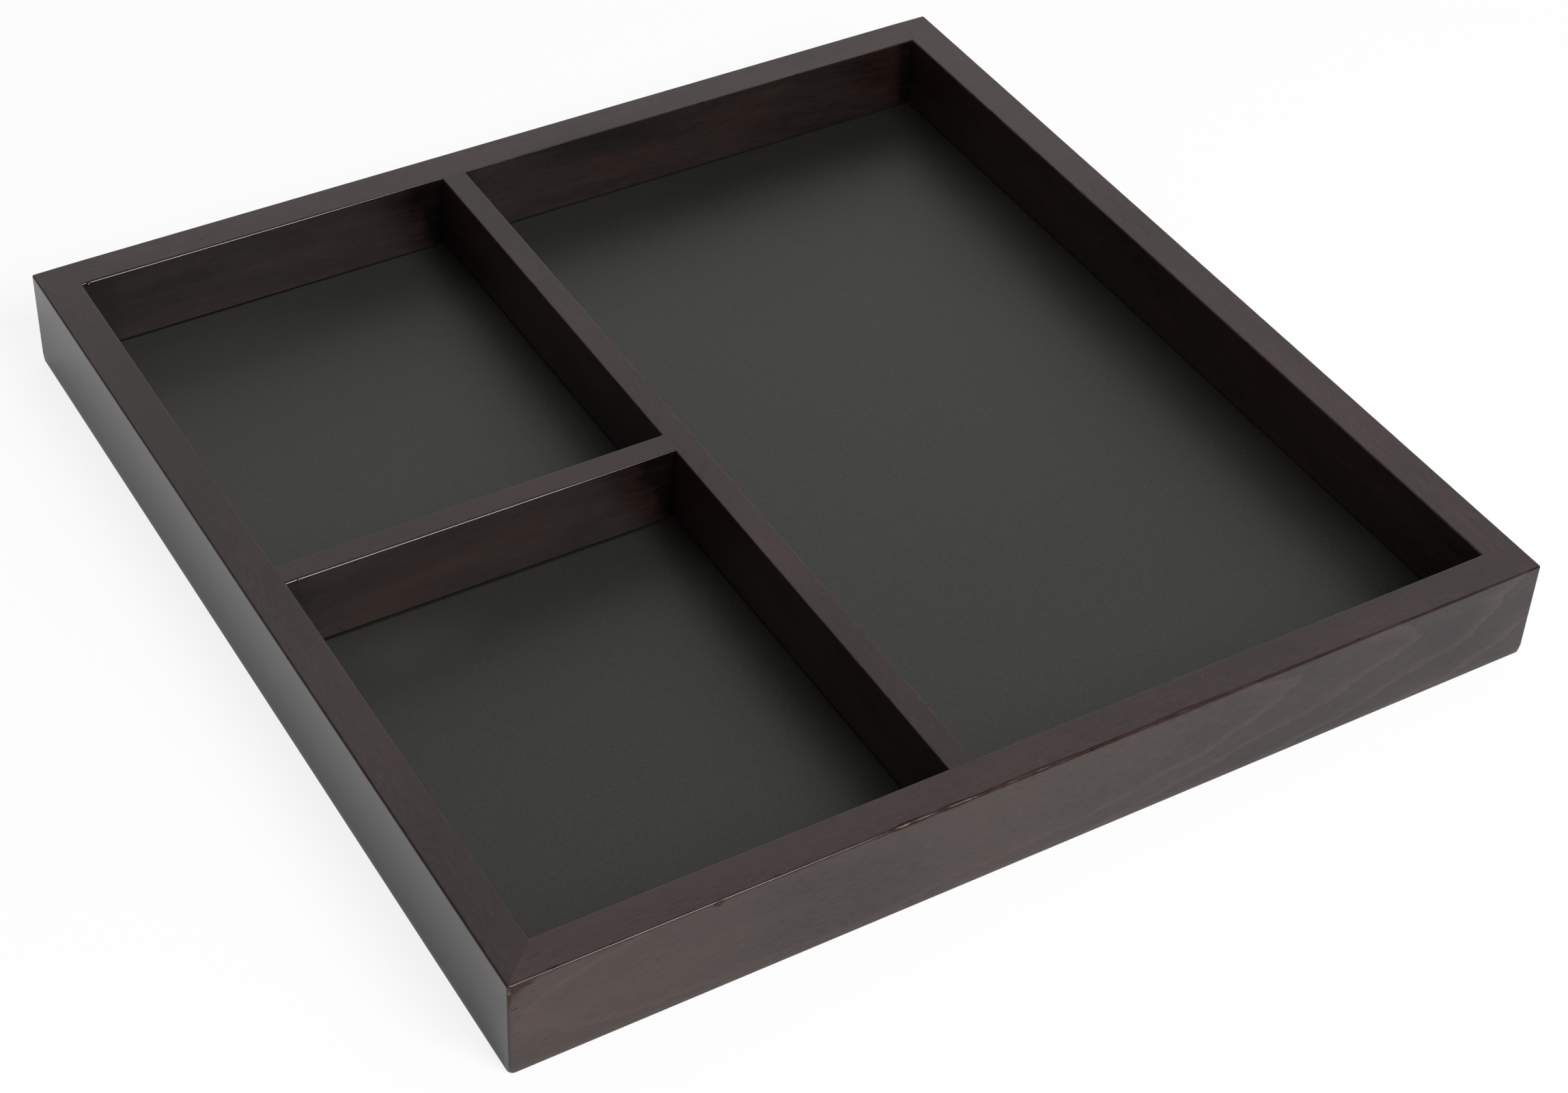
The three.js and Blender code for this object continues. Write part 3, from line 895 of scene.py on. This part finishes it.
def floor_surface():
    """White floor, lit and shadowed by the lamps, and pale where the camera or a mirror image shows it."""
    made = bpy.data.materials.new("studio_floor")
    made.use_nodes = True
    tree = made.node_tree
    tree.nodes.clear()
    rays = node(tree, "ShaderNodeLightPath").outputs
    mirrored = math_of(tree, "MAXIMUM", rays["Is Glossy Ray"], rays["Is Transmission Ray"])
    lit = node(tree, "ShaderNodeBsdfDiffuse", {"Color": FLOOR_WHITE}).outputs[0]
    glow = node(tree, "ShaderNodeEmission", {"Strength": 1.0}).outputs[0]
    seen_share = math_of(tree, "MULTIPLY", rays["Is Camera Ray"], FLOOR_GLOW_SEEN)
    share = math_of(tree, "ADD", seen_share, math_of(tree, "MULTIPLY", mirrored, FLOOR_GLOW_MIRRORED))
    mixed = node(tree, "ShaderNodeMixShader", {0: share, 1: lit, 2: glow}).outputs[0]
    node(tree, "ShaderNodeOutputMaterial", {"Surface": mixed})
    return made


def floor():
    """A wide plain floor just under the tray."""
    half = FLOOR_SIZE / 2
    corners = [(x, y, -FLOOR_DROP) for x, y in ((-half, -half), (half, -half), (half, half), (-half, half))]
    mesh = bpy.data.meshes.new("floor")
    mesh.from_pydata(corners, [], [(0, 1, 2, 3)])
    mesh.materials.append(floor_surface())
    made = linked("floor", mesh)


def world():
    """An even white surrounding that fills the shadows and shows white behind the floor."""
    made = bpy.data.worlds.new("studio")
    bpy.context.scene.world = made
    made.use_nodes = True
    tree = made.node_tree
    rays = node(tree, "ShaderNodeLightPath").outputs
    strength = span(tree, rays["Is Camera Ray"], WHOLE_RANGE, (WORLD_FILL, WORLD_SEEN))
    fill(tree, tree.nodes["Background"], {"Color": WORLD_WHITE, "Strength": strength})


def softbox(name, centre, target, size, radiance):
    """A plain white rectangular lamp of an even brightness, turned to a target."""
    lamp = bpy.data.lights.new(name, "AREA")
    lamp.shape = "RECTANGLE"
    lamp.size, lamp.size_y = size
    lamp.energy = radiance * math.pi * size[0] * size[1]
    made = linked(name, lamp)
    made.location = centre
    made.rotation_mode = "QUATERNION"
    made.rotation_quaternion = (Vector(target) - Vector(centre)).to_track_quat("-Z", "Y")


def camera():
    """The camera at the photo's place, angle and lens."""
    azimuth = math.radians(CAMERA_AZIMUTH)
    elevation = math.radians(CAMERA_ELEVATION)
    roll = math.radians(CAMERA_ROLL)
    flat = math.cos(elevation)
    back = Vector((math.sin(azimuth) * flat, -math.cos(azimuth) * flat, math.sin(elevation)))
    level = (-back).cross(Vector((0, 0, 1))).normalized()
    upright = level.cross(-back)
    right = math.cos(roll) * level + math.sin(roll) * upright
    up = -math.sin(roll) * level + math.cos(roll) * upright
    turned = Matrix((right, up, back)).transposed().to_4x4()
    data = bpy.data.cameras.new("photo_camera")
    data.sensor_width = CAMERA_SENSOR
    data.lens = CAMERA_LENS
    data.shift_x, data.shift_y = CAMERA_SHIFT
    made = linked("photo_camera", data)
    made.matrix_world = Matrix.Translation(CAMERA_PLACE) @ turned
    bpy.context.scene.camera = made


def kept_slot(name):
    """Slot of a CAD node that stays."""
    if "panel" in name:
        return "chalkboard"
    if "screw" in name:
        return "screw_steel"
    return "beech"


def build_boards():
    """The wooden pieces, in place of their CAD nodes."""
    wood = material("espresso_wood", stained_wood)
    for name in SIDE_TURNS:
        place(rail(name), name, wood, "stained_wood")
    long_piece = divider("long_divider", LONG_LOW, LONG_HIGH, Y_AXIS, ("right", "left"))
    place(long_piece, "long_divider", wood, "stained_wood")
    cross_piece = divider("cross_divider", CROSS_LOW, CROSS_HIGH, X_AXIS, ("front", "back"))
    place(cross_piece, "cross_divider", wood, "stained_wood")


def build_drops():
    """The dried drops of lacquer, which replace no CAD node."""
    lacquer = material("pooled_lacquer", pooled_lacquer)
    for name, (centre, sizes) in LACQUER_DROPS.items():
        piece = drop(name, centre, sizes)
        piece.data.materials.append(lacquer)
        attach(piece, BODY)


def dress_kept_nodes():
    """Materials for the CAD nodes that stay; those that the boards replace are hidden by now."""
    kept = {
        "chalkboard": material("chalkboard_paint", chalkboard),
        "beech": material("plain_beech", beech),
        "screw_steel": material("zinc_steel", screw_steel),
    }
    for name, cad in frame["nodes"].items():
        if cad.hide_render:
            continue
        slot_name = kept_slot(name)
        cad.data.materials.clear()
        cad.data.materials.append(kept[slot_name])


build_boards()
build_drops()
dress_kept_nodes()
floor()
world()
for lamp_name, lamp_values in LAMPS.items():
    softbox(lamp_name, *lamp_values)
camera()
bpy.context.scene.view_settings.view_transform = "Standard"
